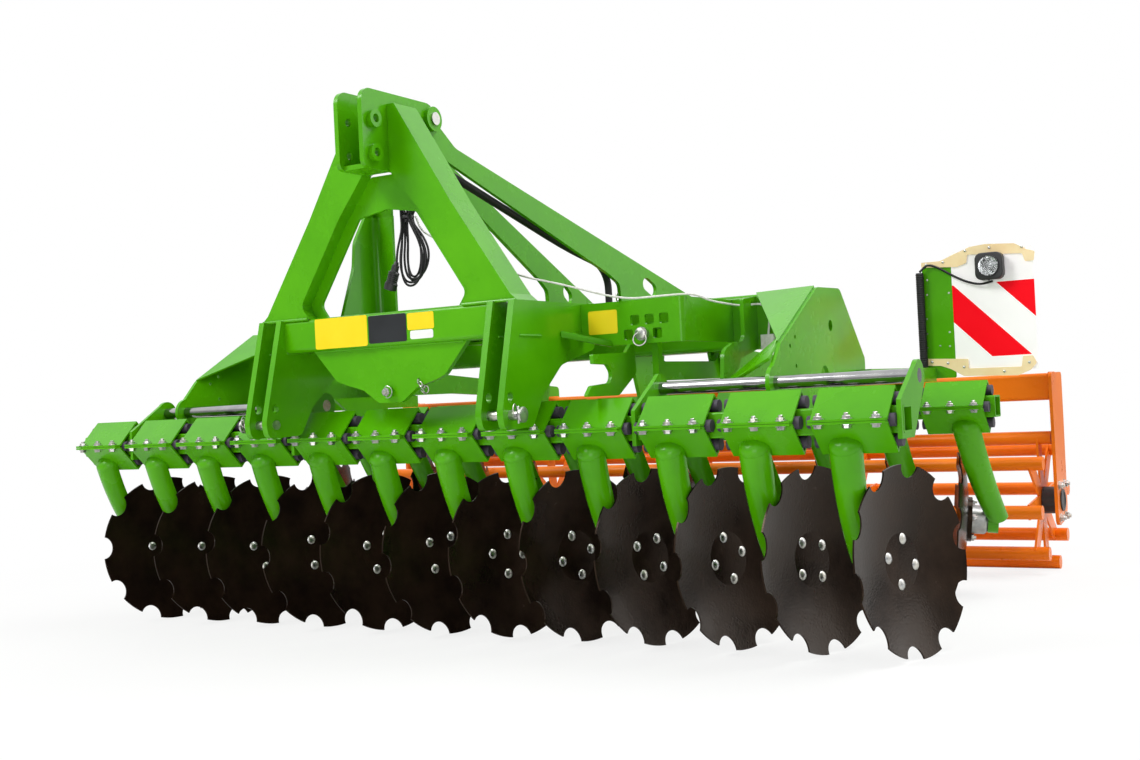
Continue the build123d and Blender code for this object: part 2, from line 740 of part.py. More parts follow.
# Hangers from the frame down to the rear gang beam, in the gaps between its clamps
rear_gaps = [-x for x in gap_x]
beam_half = beam_size / 2
beam_back = row_gap - beam_ahead
foot = (
    (beam_back - beam_half - foot_w, beam_z - beam_half), (beam_back - beam_half, beam_z - beam_half),
    (beam_back - beam_half, beam_z + beam_half), (beam_back + beam_half, beam_z + beam_half),
    (beam_back + beam_half, beam_z - beam_half), (beam_back + beam_half + foot_w, beam_z - beam_half),
)
middle_head = ((beam_back + head_reach[1], longeron_low_z), (beam_back + head_reach[0], longeron_low_z))
outer_head = ((beam_back + beam_half + foot_w, beam_z + beam_half + head_step), (box_rear_back, frame_top_z),
              (box_rear_back, box_low_z))
with BuildPart() as hangers:
    for gap, head in ((4, middle_head), (6, middle_head), (1, outer_head), (9, outer_head)):
        with BuildSketch(yz(rear_gaps[gap] - hanger_t / 2)):
            Polygon(*outline((*foot, *head)), align=None)
        extrude(amount=hanger_t)
write(hangers.part, "rear_beam_hangers")

# Depth setting plates: a front plate with its holes and a side plate back to the main box
inner_x = hitch_x + hitch_gap / 2 + hitch_t
with BuildPart() as depth_plates:
    for s in (-1, 1):
        with BuildSketch(xz(depth_back)):
            rounded(((inner_x, depth_low_z + 30, 0), (inner_x, depth_top_z, 0), (depth_out_x, depth_top_z, 0),
                     (depth_out_x, depth_low_z, 0), (inner_x + 104, depth_low_z, 20)), s)
            for z, row in depth_hole_rows:
                for x in row:
                    with Locations((s * x, z)):
                        RectangleRounded(depth_hole, depth_hole, 5, mode=Mode.SUBTRACT)
        extrude(amount=-depth_t)
        with Locations((s * (depth_out_x - depth_t / 2), at((depth_back + box_front_back) / 2),
                        (depth_low_z + depth_top_z) / 2)):
            Box(depth_t, box_front_back - depth_back, depth_top_z - depth_low_z)
    corners = depth_plates.edges().filter_by(Axis.Z).filter_by(lambda e: abs(e.center().Y - at(depth_back)) < 0.1)
    fillet(corners.filter_by(lambda e: abs(abs(e.center().X) - depth_out_x) < 0.1), depth_t + 4)
write(depth_plates.part, "depth_plates")

# Hook plates under the frame and the lugs that hold the roller levers' pins
with BuildPart() as frame_brackets:
    for x, shape in ((hook_1_x, hook_1_outline), (hook_2_x, hook_2_outline), (-hook_2_x, hook_2_outline)):
        with BuildSketch(yz(x - hook_t / 2)):
            rounded(side_view(shape))
            if shape is hook_2_outline:
                round_hole(at(rope_hole_back), rope_hole_z, rope_hole_r)
        extrude(amount=hook_t)
    for s in (-1, 1):
        near = lever_t / 2 + pivot_side_gap
        for x in (s * lever_x - near - pivot_lug_t, s * lever_x + near):
            with BuildSketch(yz(x)):
                rounded(side_view(lug_outline))
                round_hole(at(pivot_back), pivot_z, pivot_pin_r + 0.05)
            extrude(amount=pivot_lug_t)
write(frame_brackets.part, "frame_brackets")

# Levers of the roller, each with a nose that rests on its depth pin
nose_z = pin_z + depth_pin_r + soft_gap
with BuildPart() as levers:
    for s in (-1, 1):
        with BuildSketch(yz(s * lever_x - lever_t / 2)):
            rounded(side_view(lever_outline))
            round_hole(at(pivot_back), pivot_z, pivot_pin_r + 0.06)
        extrude(amount=lever_t)
        with Locations((s * lever_x, at(nose_back), nose_z + nose_size[2] / 2)):
            Box(*nose_size)
write(levers.part, "roller_levers")

with BuildPart() as roller_frame:
    inner_x = cheek_x - cheek_t / 2
    with BuildSketch(yz(-inner_x)):
        with Locations((at(rail_back), rail_z)):
            RectangleRounded(rail_size, rail_size, frame_corner_r)
            Rectangle(rail_size - 2 * rail_wall, rail_size - 2 * rail_wall, mode=Mode.SUBTRACT)
    extrude(amount=2 * inner_x)
    for s in (-1, 1):
        with BuildSketch(yz(s * cheek_x - cheek_t / 2)):
            rounded(side_view([(roller_back + back, z, r) for back, z, r in cheek_outline]))
            round_hole(at(roller_back), roller_z, stub_r + 3)
        extrude(amount=cheek_t)
write(roller_frame.part, "roller_frame")

with BuildPart() as bearings:
    bearing_in = star_x[-1] + star_t / 2 + bearing_gap
    bearing_out = cheek_x - cheek_t / 2
    for s in (-1, 1):
        with BuildSketch(yz(s * bearing_in)):
            with Locations((at(roller_back), roller_z)):
                Circle(bearing_r)
                Circle(stub_r + 0.06, mode=Mode.SUBTRACT)
        extrude(amount=s * (bearing_out - bearing_in))
write(bearings.part, "roller_bearings")

# Roller: star plates on a common axis, with tubes let into their tips
with BuildPart() as roller:
    for x in star_x:
        with BuildSketch(yz(x - star_t / 2)):
            with Locations((at(roller_back), roller_z)):
                Circle(star_hub_r)
                with PolarLocations(tube_circle_r / 2, tube_count, start_angle=roller_phase + 90):
                    Rectangle(tube_circle_r, spoke_w)
        extrude(amount=star_t)
    for s in (-1, 1):
        with BuildSketch(yz(s * star_x[-1])):
            with Locations((at(roller_back), roller_z)):
                Circle(stub_r)
        extrude(amount=s * (cheek_x - star_x[-1]))
    with BuildSketch(yz(-tube_end_x)):
        with Locations((at(roller_back), roller_z)):
            with PolarLocations(tube_circle_r, tube_count, start_angle=roller_phase + 90):
                Circle(tube_r)
    extrude(amount=2 * tube_end_x)
write(roller.part, "roller_cage")

# Warning boards on posts at the rear corners, with pressed holders and a lamp
arm_x = side_x + (side_t + arm_size) / 2
with BuildPart() as posts:
    for s in (-1, 1):
        with BuildSketch(xz(board_back)):
            with Locations((s * (post_in_x + post_w / 2), post_z)):
                RectangleRounded(post_w, post_h, 6)
        extrude(amount=-post_t)
        with Locations((s * arm_x, at((arm_front_back + board_back) / 2), arm_z)):
            Box(arm_size, board_back - arm_front_back, arm_size)
write(posts.part, "board_arms")

with BuildPart() as boards:
    for s in (-1, 1):
        with BuildSketch(xz(board_back + soft_gap)):
            with Locations((s * (board_in_x + board_w / 2), board_z)):
                Rectangle(board_w, board_h)
        extrude(amount=-board_t)
write(boards.part, "warning_boards")

holder_back = board_back - soft_gap
with BuildPart() as holders:
    for s in (-1, 1):
        for shape in (holder_top, holder_low):
            with BuildSketch(xz(holder_back)):
                rounded(shape, s)
            extrude(amount=holder_t)
write(holders.part, "board_holders")

lamp_rear_back = holder_back - holder_t - soft_gap
with BuildPart() as lamps:
    for s in (-1, 1):
        with BuildSketch(xz(lamp_rear_back)):
            with Locations((s * lamp_x, lamp_z)):
                RectangleRounded(lamp_size, lamp_size, 20)
        extrude(amount=lamp_depth)
write(lamps.part, "lamps")

# Cables that are held all the way: a conduit beside each board post, a lead from its top to the
# lamp, and the conduit inside the near strut with the lead on to the tie of the hank
conduit_r = conduit_d / 2
conduit_x = side_x + side_t / 2 + conduit_r + soft_gap
conduit_back = holder_back - holder_t - conduit_r - soft_gap
conduit_top_z = post_z + post_h / 2 - 20
lamp_low_z = lamp_z - lamp_size / 2
lead_back = holder_back - holder_t - soft_gap - lead_d


def strut_side(back):
    """X of a place beside the right strut's inner face."""
    middle = strut_top_x + (longeron_x - strut_top_x) * (back - strut_pin_back) / (strut_rear_back - strut_pin_back)
    return middle - strut_t / 2 - conduit_r - 2


strut_conduit = ((strut_side(-48), -48, on_tower(1486)), (strut_side(600), 600, on_tower(1256)),
                 (strut_side(tie_back), tie_back, on_tower(1195)),
                 (strut_side(tie_back), tie_back, frame_top_z + soft_gap))
hank_lead = ((strut_side(-48), -48 - soft_gap, on_tower(1486.1)), (4, -112, on_tower(1496)),
             (12, -182, on_tower(1462)), (38, -238, on_tower(1396)),
             (56, -260, hank_outline[0][1] + plug_lead_d / 4))
cords = [cord(strut_conduit, conduit_d), cord(hank_lead, plug_lead_d)]
for s in (-1, 1):
    cords.append(cord(((s * conduit_x, conduit_back, arm_z + arm_size / 2 + soft_gap),
                       (s * conduit_x, conduit_back, conduit_top_z)), conduit_d))
    cords.append(cord([(s * x, back, z) for x, back, z in (
        (lamp_x + 6, lead_back - 3, lamp_low_z - soft_gap - lead_d / 2), (lamp_x - 38, lead_back - 1, lamp_low_z - 13),
        (lamp_x - 88, lead_back, lamp_low_z + 2), (lamp_x - 135, lead_back, lamp_low_z + 28),
        (lamp_x - 181, lead_back, lamp_low_z + 59), (conduit_x + 28, lead_back, conduit_top_z + 30),
        (conduit_x, conduit_back, conduit_top_z + 3.3))], lead_d))
write(Compound([solid for part in cords for solid in part.solids()]), "lighting_cables")

# Lighting cable, hung up in the tower as a hank, with its plug
hank_back = lip_back + leg_t + soft_gap
with BuildPart() as hank:
    with BuildSketch(xz(hank_back + hank_t)):
        rounded(hank_outline)
    extrude(amount=hank_t)
write(hank.part, "cable_hank")
plug_back = hank_back - soft_gap - plug_d / 2
with BuildPart() as plug:
    with BuildSketch(Plane(origin=(21, at(plug_back), on_tower(1118)), z_dir=(32, 0, 85))):
        Circle(plug_d / 2)
    extrude(amount=plug_l / 2, both=True)
write(plug.part, "cable_plug")

# Pull rope from the hank's tie past the tower and along the depth plate to its grip
grip_w, grip_depth, grip_h = grip_size
grip_x = 945
grip_z = 868
grip_back = box_front_back - soft_gap - grip_depth / 2
rope_front = cord(
    ((76, -244, on_tower(1296)), (92, -240, on_tower(1250)), (160, -215, on_tower(1206)),
     (250, -175, on_tower(1152)), (385, -152, on_tower(1092)), (477, -115, on_tower(1066)),
     (540, -65, on_tower(1044)), (590, -5, on_tower(1024)), (650, 22, depth_top_z + rope_d / 2 + 2),
     (782, 26, depth_top_z + rope_d / 2 + 3), (845, 48, depth_top_z + rope_d / 2 + 3), (862, 130, 992),
     (hook_2_x - 34, rope_hole_back - 12, rope_hole_z - 1), (hook_2_x + 34, rope_hole_back + 12, rope_hole_z + 1),
     (955, 352, 962), (grip_x, grip_back, grip_z + grip_h / 2)), rope_d)
with BuildPart() as rope:
    add(rope_front)
    with Locations((grip_x, at(grip_back), grip_z)):
        Box(grip_w, grip_depth, grip_h)
write(rope.part, "pull_rope")
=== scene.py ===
"""Looks of the disc harrow, in metres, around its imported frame."""
import json
from math import cos, radians, sin

import bpy
from mathutils import Matrix, Vector


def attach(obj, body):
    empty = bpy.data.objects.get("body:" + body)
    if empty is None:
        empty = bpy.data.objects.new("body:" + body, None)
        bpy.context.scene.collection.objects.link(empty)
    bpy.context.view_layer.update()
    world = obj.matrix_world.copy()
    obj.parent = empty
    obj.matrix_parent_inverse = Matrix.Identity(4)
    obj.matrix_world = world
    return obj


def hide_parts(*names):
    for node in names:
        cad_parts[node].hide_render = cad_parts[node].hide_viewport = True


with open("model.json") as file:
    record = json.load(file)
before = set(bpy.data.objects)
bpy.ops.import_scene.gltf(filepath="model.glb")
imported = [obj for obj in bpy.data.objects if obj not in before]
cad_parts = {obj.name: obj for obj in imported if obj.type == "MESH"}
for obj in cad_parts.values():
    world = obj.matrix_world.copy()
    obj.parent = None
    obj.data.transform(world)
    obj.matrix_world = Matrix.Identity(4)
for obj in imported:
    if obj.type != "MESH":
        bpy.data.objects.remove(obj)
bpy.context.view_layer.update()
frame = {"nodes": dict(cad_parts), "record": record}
nodes = frame["nodes"]

# Camera: stands in front of the right-hand corner, a little below the frame's top.
# Turned left, tipped up and rolled a little, as a hand-held long lens.
camera_place = Vector((2.5692, -4.3302, 0.7254))
camera_turn = radians(30.921)
camera_tip = radians(0.766)
camera_roll = radians(-2.806)
ahead = Vector((-sin(camera_turn) * cos(camera_tip), cos(camera_turn) * cos(camera_tip), sin(camera_tip)))
level = Vector((cos(camera_turn), sin(camera_turn), 0))
above = level.cross(ahead)
side_axis = level * cos(camera_roll) + above * sin(camera_roll)
up_axis = above * cos(camera_roll) - level * sin(camera_roll)
bpy.ops.object.camera_add()
camera = bpy.context.object
camera.name = "camera"
camera.matrix_world = Matrix.Translation(camera_place) @ Matrix((side_axis, up_axis, -ahead)).transposed().to_4x4()
camera.data.lens = 43.24
camera.data.sensor_width = 36
bpy.context.scene.camera = camera

# Lighting cable: a rubber-sheathed seven-core lead, hung up in the tower as a hank of loose turns.
# A tie gathers the turns near the top, and the seven-pin plug hangs in front of them.
# Distance from the front disc row back to the machine's middle, in mm as all sizes here
middle_back = 780.8563
cable_d = 7
tie_x, tie_z = 58, 1296
hank_x = 63
# Each turn: drop below the tie, reach to the left and to the right, distance behind the front discs
hank_turns = ((176, 22, 30, -247.5), (190, 17, 46, -253), (184, 26, 66, -258.5), (194, 38, 60, -264),
              (204, 31, 50, -269.5))
plug_place = (21, -295, 1118)


def at(back):
    """Y, in metres, of a place that lies this many millimetres behind the front disc row."""
    return (back - middle_back) / 1000


def spot(x, back, z):
    """A place in metres, from millimetres: across, behind the front discs, height."""
    return Vector((x / 1000, at(back), z / 1000))


def linear(code):
    """An sRGB hex colour as linear RGBA."""
    parts = [int(code[i:i + 2], 16) / 255 for i in (1, 3, 5)]
    return (*[p / 12.92 if p <= 0.04045 else ((p + 0.055) / 1.055) ** 2.4 for p in parts], 1)


def node(material, kind, inputs=(), **settings):
    """Adds a shader node; inputs maps a socket to a value or to another node's output."""
    made = material.node_tree.nodes.new(kind)
    for name, value in settings.items():
        setattr(made, name, value)
    for socket, value in dict(inputs).items():
        if isinstance(value, bpy.types.NodeSocket):
            material.node_tree.links.new(value, made.inputs[socket])
        else:
            made.inputs[socket].default_value = value
    return made


def coat(name, colours, grain, rough, bump=(400, 0.0002), **shader):
    """A finish whose colour runs between two hex codes in soft patches that are grain metres wide.

    rough gives the lowest and highest roughness, bump the fine relief's scale per metre and its height.
    """
    material = bpy.data.materials.new(name)
    material.use_nodes = True
    surface = material.node_tree.nodes["Principled BSDF"]
    for socket, value in shader.items():
        surface.inputs[socket.replace("_", " ")].default_value = value
    place = node(material, "ShaderNodeTexCoord").outputs["Object"]
    patches = node(material, "ShaderNodeTexNoise", {"Vector": place, "Scale": 1 / grain, "Detail": 6.0,
                                                    "Roughness": 0.6})
    ramp = node(material, "ShaderNodeValToRGB", {"Fac": patches.outputs["Fac"]})
    for stop, spread, code in zip(ramp.color_ramp.elements, (0.35, 0.65), colours):
        stop.position = spread
        stop.color = linear(code)
    gloss = node(material, "ShaderNodeMapRange", {"Value": patches.outputs["Fac"], "From Min": 0.3, "From Max": 0.7,
                                                  "To Min": rough[0], "To Max": rough[1]})
    relief = node(material, "ShaderNodeTexNoise", {"Vector": place, "Scale": float(bump[0]), "Detail": 3.0})
    bumps = node(material, "ShaderNodeBump", {"Height": relief.outputs["Fac"], "Distance": bump[1],
                                              "Strength": 0.6})
    links = material.node_tree.links
    links.new(ramp.outputs["Color"], surface.inputs["Base Color"])
    links.new(gloss.outputs["Result"], surface.inputs["Roughness"])
    links.new(bumps.outputs["Normal"], surface.inputs["Normal"])
    return material


def dress(name, material):
    """Gives a CAD node its finish."""
    nodes[name].data.materials.clear()
    nodes[name].data.materials.append(material)


def fit(piece, name, body, material):
    """Names a finished piece, gives it its finish and lets it ride on a body."""
    piece.name = name
    piece.data.materials.clear()
    piece.data.materials.append(material)
    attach(piece, body)
    return piece


def alone(piece):
    """Leaves only this piece selected."""
    bpy.ops.object.select_all(action="DESELECT")
    piece.select_set(True)
    bpy.context.view_layer.objects.active = piece


def turned(steps, sides=24):
    """A round piece along Z, extruded from its first face: each step is (distance along it, radius), in mm."""
    bpy.ops.object.select_all(action="DESELECT")
    start, first = steps[0]
    bpy.ops.mesh.primitive_circle_add(vertices=sides, radius=first / 1000, fill_type="NGON",
                                      location=(0, 0, start / 1000))
    piece = bpy.context.object
    alone(piece)
    bpy.ops.object.transform_apply(location=True, rotation=True, scale=True)
    bpy.ops.object.mode_set(mode="EDIT")
    bpy.ops.mesh.select_all(action="SELECT")
    for (before, wide), (after, narrow) in zip(steps, steps[1:]):
        bpy.ops.mesh.extrude_region_move(TRANSFORM_OT_translate={"value": (0, 0, (after - before) / 1000)})
        bpy.ops.transform.resize(value=(narrow / wide, narrow / wide, 1), center_override=(0, 0, 0))
    bpy.ops.mesh.select_all(action="SELECT")
    bpy.ops.mesh.normals_make_consistent(inside=False)
    bpy.ops.object.mode_set(mode="OBJECT")
    bpy.ops.object.shade_smooth_by_angle(angle=radians(32))
    return piece


def joined(pieces):
    """Several pieces as one object."""
    bpy.ops.object.select_all(action="DESELECT")
    for piece in pieces:
        piece.select_set(True)
    bpy.context.view_layer.objects.active = pieces[0]
    bpy.ops.object.join()
    return bpy.context.object


def facing(place, direction, turn=0):
    """Matrix that stands a piece made along Z on a place, pointing in a direction, turned on itself."""
    stand = Vector(direction).to_track_quat("Z", "Y").to_matrix().to_4x4()
    return Matrix.Translation(place) @ stand @ Matrix.Rotation(radians(turn), 4, "Z")


def copies(piece, matrices):
    """One object made of copies of a small piece, one at each matrix."""
    made = []
    for matrix in matrices:
        other = piece.copy()
        other.data = piece.data.copy()
        other.data.transform(matrix)
        bpy.context.collection.objects.link(other)
        made.append(other)
    return joined(made)


# Rubber sheath: extruded black synthetic rubber, satin, with a bloom of paler dust in its hollows
cable_sheath = coat("extruded_rubber_sheath", ("#0C0C0E", "#171619"), 0.06, (0.42, 0.62), (900, 0.0001),
                    Specular_IOR_Level=0.35)

route = [spot(56, -260, 1330.3), spot(56, -257, 1316)]
for number, (drop, left, right, depth) in enumerate(hank_turns):
    shift = 3 if number % 2 else -3
    route += [spot(x, depth, tie_z - part * drop) for x, part in (
        (tie_x - 8 + shift, 0), (tie_x - 6 - 0.3 * left, 0.2), (hank_x - 0.75 * left, 0.42), (hank_x - left, 0.66),
        (hank_x - 0.9 * left, 0.88), (hank_x - 0.4 * left, 1.03), (hank_x + 0.4 * right, 1.03),
        (hank_x + 0.88 * right, 0.87), (hank_x + 1.05 * right, 0.62), (hank_x + 0.8 * right, 0.38),
        (tie_x + 9 + 0.25 * right, 0.17), (tie_x + 8 + shift, 0))]
    if number + 1 < len(hank_turns):
        half = (depth + hank_turns[number + 1][3]) / 2
        route += [spot(x, half, z) for x, z in ((tie_x + 24, tie_z + 22), (tie_x + 17, tie_z + 46),
                                                (tie_x - 14, tie_z + 47), (tie_x - 23, tie_z + 24))]
route += [spot(x, back, z) for x, back, z in (
    (tie_x + 24, -271, tie_z + 20), (tie_x + 16, -272, tie_z + 43), (tie_x - 12, -272, tie_z + 42),
    (tie_x - 16, -273, tie_z + 18), (46, -274, 1262), (42, -282, 1228), (39, -290, 1200), (38, -294, 1180),
    (36.4, -295, 1159))]
line = bpy.data.curves.new("cable_route", "CURVE")
line.dimensions = "3D"
spline = line.splines.new("NURBS")
spline.points.add(len(route) - 1)
for point, place in zip(spline.points, route):
    point.co = (*place, 1)
spline.order_u = 3
spline.use_endpoint_u = True
spline.resolution_u = 6
line.bevel_depth = cable_d / 2000
line.bevel_resolution = 3
line.use_fill_caps = True
hank = bpy.data.objects.new("hanging_cable", line)
bpy.context.collection.objects.link(hank)
fit(hank, "hanging_cable", "frame", cable_sheath)
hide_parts("cable_hank")

# Seven-pin plug: moulded black nylon, with a ribbed grip, a collar and a threaded rear gland
moulded_nylon = coat("moulded_black_nylon", ("#121214", "#1B1B1D"), 0.02, (0.34, 0.5), (1500, 0.00006))
plug_line = Vector((32, 0, 85)).normalized()
ribs = [(z, r) for k in range(5) for z, r in ((-20 + 6 * k, 17.5), (-18.5 + 6 * k, 15.8), (-16 + 6 * k, 15.8),
                                             (-14.5 + 6 * k, 17.5))]
plug = turned(((-44, 16), (-43, 19), (-24, 19.6), (-22, 17.5), *ribs, (12, 14), (15, 11.5), (32, 11), (33, 8.5),
               (41, 7), (43.5, 5)))
plug.data.transform(facing(spot(*plug_place), plug_line))
fit(plug, "cable_plug_body", "frame", moulded_nylon)
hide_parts("cable_plug")

# Tie round the hank: a black moulded strap, wider than it is thick, that gathers the turns
tie_place = spot(tie_x, -258.5, tie_z - 2)
bpy.ops.object.select_all(action="DESELECT")
bpy.ops.mesh.primitive_torus_add(major_radius=0.0165, minor_radius=0.0022, major_segments=28, minor_segments=6,
                                 location=tie_place)
tie = bpy.context.object
alone(tie)
bpy.ops.object.transform_apply(location=True, rotation=True, scale=True)
bpy.ops.object.mode_set(mode="EDIT")
bpy.ops.mesh.select_all(action="SELECT")
bpy.ops.transform.resize(value=(1, 1.12, 2.2), center_override=tie_place)
bpy.ops.object.mode_set(mode="OBJECT")
bpy.ops.object.shade_smooth_by_angle(angle=radians(40))
fit(tie, "cable_tie", "frame", moulded_nylon)

# Discs: quenched boron steel, dished and notched, dipped in a dark brown lacquer that dries glossy.
# The lacquer runs thin in patches, where the brown shows more.
disc_lacquer = coat("lacquered_boron_steel", ("#140E0B", "#251A13"), 0.13, (0.12, 0.28), (150, 0.0006),
                    Specular_IOR_Level=0.17, Specular_Tint=linear("#F2CFAE"))
for name in nodes:
    if name.startswith("disc_"):
        dress(name, disc_lacquer)

# Disc bolts: four plated square-neck bolts with domed heads, their nuts behind the turning flange.
# Each disc has stopped at its own angle, given in degrees; the bolts lead its notches by a few more.
zinc_plate = coat("bright_zinc_plate", ("#A9ABAD", "#C9C6BC"), 0.02, (0.22, 0.42), (1200, 0.0001), Metallic=1.0)
disc_phase = (175, 172, 169, 143, 161, 147, 89, 107, 60, 107, 130, 81)
disc_lead = 5
bolt_circle_r = 60.8
disc_z = 251.715
disc_pitch = 250
row_stagger = disc_pitch / 4
rear_row = 1114
dome = turned(((0.1, 15), (1.2, 15), (2.6, 13.6), (4.2, 10.6), (5.4, 6.4), (5.9, 2.2)), 16)
hexagon = turned(((-17.1, 11.5), (-18.2, 11.9), (-26, 11.9), (-27, 11), (-27.1, 6.2), (-33, 6.2), (-34, 5.2)), 6)
disc_bolt = joined([dome, hexagon])
steer, tilt = radians(16.5), radians(5)
axle_front = Vector((cos(steer) * cos(tilt), -sin(steer) * cos(tilt), sin(tilt)))
across_front = Vector((sin(steer), cos(steer), 0))
axle_rear = Vector((-axle_front.x, axle_front.y, axle_front.z))
across_rear = Vector((-across_front.x, across_front.y, 0))
for number, phase in enumerate(disc_phase):
    for row, axle, across, side, row_back, stagger in (
        ("front", axle_front, across_front, number, 0, row_stagger),
        ("rear", axle_rear, across_rear, 11 - number, rear_row, -row_stagger),
    ):
        up = axle.cross(across) if row == "front" else across.cross(axle)
        centre = spot((side - 5.5) * disc_pitch + stagger, row_back, disc_z)
        places = []
        for quarter in range(4):
            angle = radians(phase - disc_lead + 90 * quarter)
            arm = across * cos(angle) + up * sin(angle)
            places.append(facing(centre + arm * bolt_circle_r / 1000, axle, 17 * quarter))
        name = f"disc_{row}_{side + 1:02d}"
        fit(copies(disc_bolt, places), f"{name}_bolts", name, zinc_plate)
bpy.data.objects.remove(disc_bolt)

# Hubs: grey iron castings, machined on the face, under a thin clear lacquer
cast_hub = coat("machined_hub_casting", ("#8E8F90", "#B7B6B2"), 0.03, (0.28, 0.46), (500, 0.0004), Metallic=0.85)
for name in ("front_hubs", "rear_hubs"):
    dress(name, cast_hub)

# Rubber cords of the clamps: extruded natural rubber, cut off straight, dark and dull
cord_rubber = coat("extruded_cord_rubber", ("#2A2530", "#423A49"), 0.025, (0.5, 0.75), (700, 0.0004))
for name in ("front_rubbers", "rear_rubbers"):
    dress(name, cord_rubber)

# Frame, arms and clamps: welded and pressed steel, shot-blasted and powder-coated in bright green.
# The coat levels out to a gloss with a slight orange peel, and is a shade darker where it runs thin.
green_powder = coat("green_powder_coat", ("#489A00", "#55AA02"), 0.35, (0.2, 0.32), (220, 0.0004),
                    Specular_IOR_Level=0.2, Coat_Weight=0.12, Coat_Roughness=0.1)
for part in frame["record"]["subparts"]:
    if part["material_slot"] == "green_paint":
        dress(part["node"], green_powder)

# Clamp bolts: plated hexagon bolts through the flanges of the two half-shells, three on each side
flange_top, flange_low = 640.5, 627.5
row_half = 90
head = turned(((0, 12.4), (1, 12.4), (1.1, 10.4), (1.9, 11.2), (8.6, 11.2), (9.4, 10.2)), 6)
ring = turned(((0, 14.5), (0.2, 15), (2.2, 15), (2.5, 14.5)), 18)
stub = turned(((9, 6.3), (15, 6.3), (16, 5.2)), 10)
nut = joined([head, ring, stub])
low_head = turned(((0, 15), (2.3, 15), (2.4, 10.6), (3.2, 11.2), (9.6, 11.2), (10.4, 10)), 6)
beam_ahead = 176
# Each row: how far its clamps sit to the side of their discs, its beam's place, its stagger, the body it rides on
clamp_rows = {"front": (38, -beam_ahead, row_stagger, "front_gang"),
              "rear": (-38, rear_row - beam_ahead, -row_stagger, "frame")}
for row, (offset, beam_back, stagger, body) in clamp_rows.items():
    places, undersides = [], []
    for side in range(12):
        clamp_x = (side - 5.5) * disc_pitch + stagger - offset
        for along in (-75, 0, 75):
            for edge in (-row_half, row_half):
                turn = (side * 37 + along + edge) % 60
                places.append(facing(spot(clamp_x + along, beam_back + edge, flange_top), (0, 0, 1), turn))
                undersides.append(facing(spot(clamp_x + along, beam_back + edge, flange_low), (0, 0, -1), turn))
    fit(joined([copies(nut, places), copies(low_head, undersides)]), f"{row}_clamp_bolts", body, zinc_plate)

# Arm shoulders: the rounded tops, welded shut, where the arms' half tubes leave the clamps' lower shells
arm_top_x, arm_top_back, arm_top_z = -68, -196, 572
arm_r = 44.6
arm_lie = Vector((0, 0.62, -0.78))
bpy.ops.object.select_all(action="DESELECT")
bpy.ops.mesh.primitive_uv_sphere_add(segments=28, ring_count=14, radius=arm_r / 1000)
shoulder = bpy.context.object
alone(shoulder)
bpy.ops.object.mode_set(mode="EDIT")
bpy.ops.mesh.select_all(action="SELECT")
bpy.ops.mesh.bisect(plane_co=(0, 0, -0.001), plane_no=(0, 0, 1), use_fill=True, clear_inner=True)
bpy.ops.mesh.select_all(action="SELECT")
bpy.ops.transform.resize(value=(1, 1, 0.72), center_override=(0, 0, 0))
bpy.ops.mesh.normals_make_consistent(inside=False)
bpy.ops.object.mode_set(mode="OBJECT")
bpy.ops.object.shade_smooth_by_angle(angle=radians(40))
for row, (offset, beam_back, stagger, body) in clamp_rows.items():
    mirror_x = 1 if row == "front" else -1
    places = [facing(spot((side - 5.5) * disc_pitch + stagger + mirror_x * arm_top_x,
                          beam_back + beam_ahead + arm_top_back, arm_top_z), -arm_lie) for side in range(12)]
    fit(copies(shoulder, places), f"{row}_arm_shoulders", body, green_powder)
bpy.data.objects.remove(shoulder)

# Guide shafts: ground and hard-chromed bar, which the front gang slides along
hard_chrome = coat("hard_chrome", ("#8E8F90", "#A3A3A2"), 0.08, (0.1, 0.16), (900, 0.00004), Metallic=1.0)
dress("guide_shafts", hard_chrome)

# Weld seams: ripples of welding wire along the joints of the frame, under the same green coat
ripple_step = 6


def seam(start, end, radius=4):
    """A rippled bead between two places given in mm: a round bar whose every other ring is smaller."""
    start, end = spot(*start), spot(*end)
    run = (end - start).length * 1000
    count = max(2, round(run / ripple_step))
    steps = [(0, radius * 0.5)]
    for number in range(count):
        steps += [((number + 0.25) * run / count, radius), ((number + 0.8) * run / count, radius * 0.86)]
    bead = turned((*steps, (run, radius * 0.5)), 8)
    bead.data.transform(facing(start, end - start))
    return bead


beads = []
for s in (-1, 1):
    for x in (389, 409, 461, 481):
        beads.append(seam((s * x, -328, 909), (s * x, -212, 909)))
    beads.append(seam((s * 292, -331, 1010), (s * 478, -331, 1010), 5))
    for x in (200, 290):
        beads.append(seam((s * x, -209, 912), (s * x, -209, 1006)))
        beads.append(seam((s * x, 367, 902), (s * x, 367, 1014)))
        beads.append(seam((s * x, 487, 902), (s * x, 487, 1014)))
    beads.append(seam((s * 1118, 367, 862), (s * 1118, 367, 1010)))
    beads.append(seam((s * 1118, 370, 1018), (s * 1118, 480, 1016)))
    beads.append(seam((s * 506, 19, 1006), (s * 506, 60, 1006)))
    for x in (688, 712):
        beads.append(seam((s * x, 487, 866), (s * x, 487, 990)))
beads.append(seam((-280, -311, 907), (280, -311, 907)))
fit(joined(beads), "frame_welds", "frame", green_powder)

# Small plates welded to the frame: the rib from the right hook up to the side plate, the head of the
# upright behind the tower's arch, and the slanted bars under the depth plates


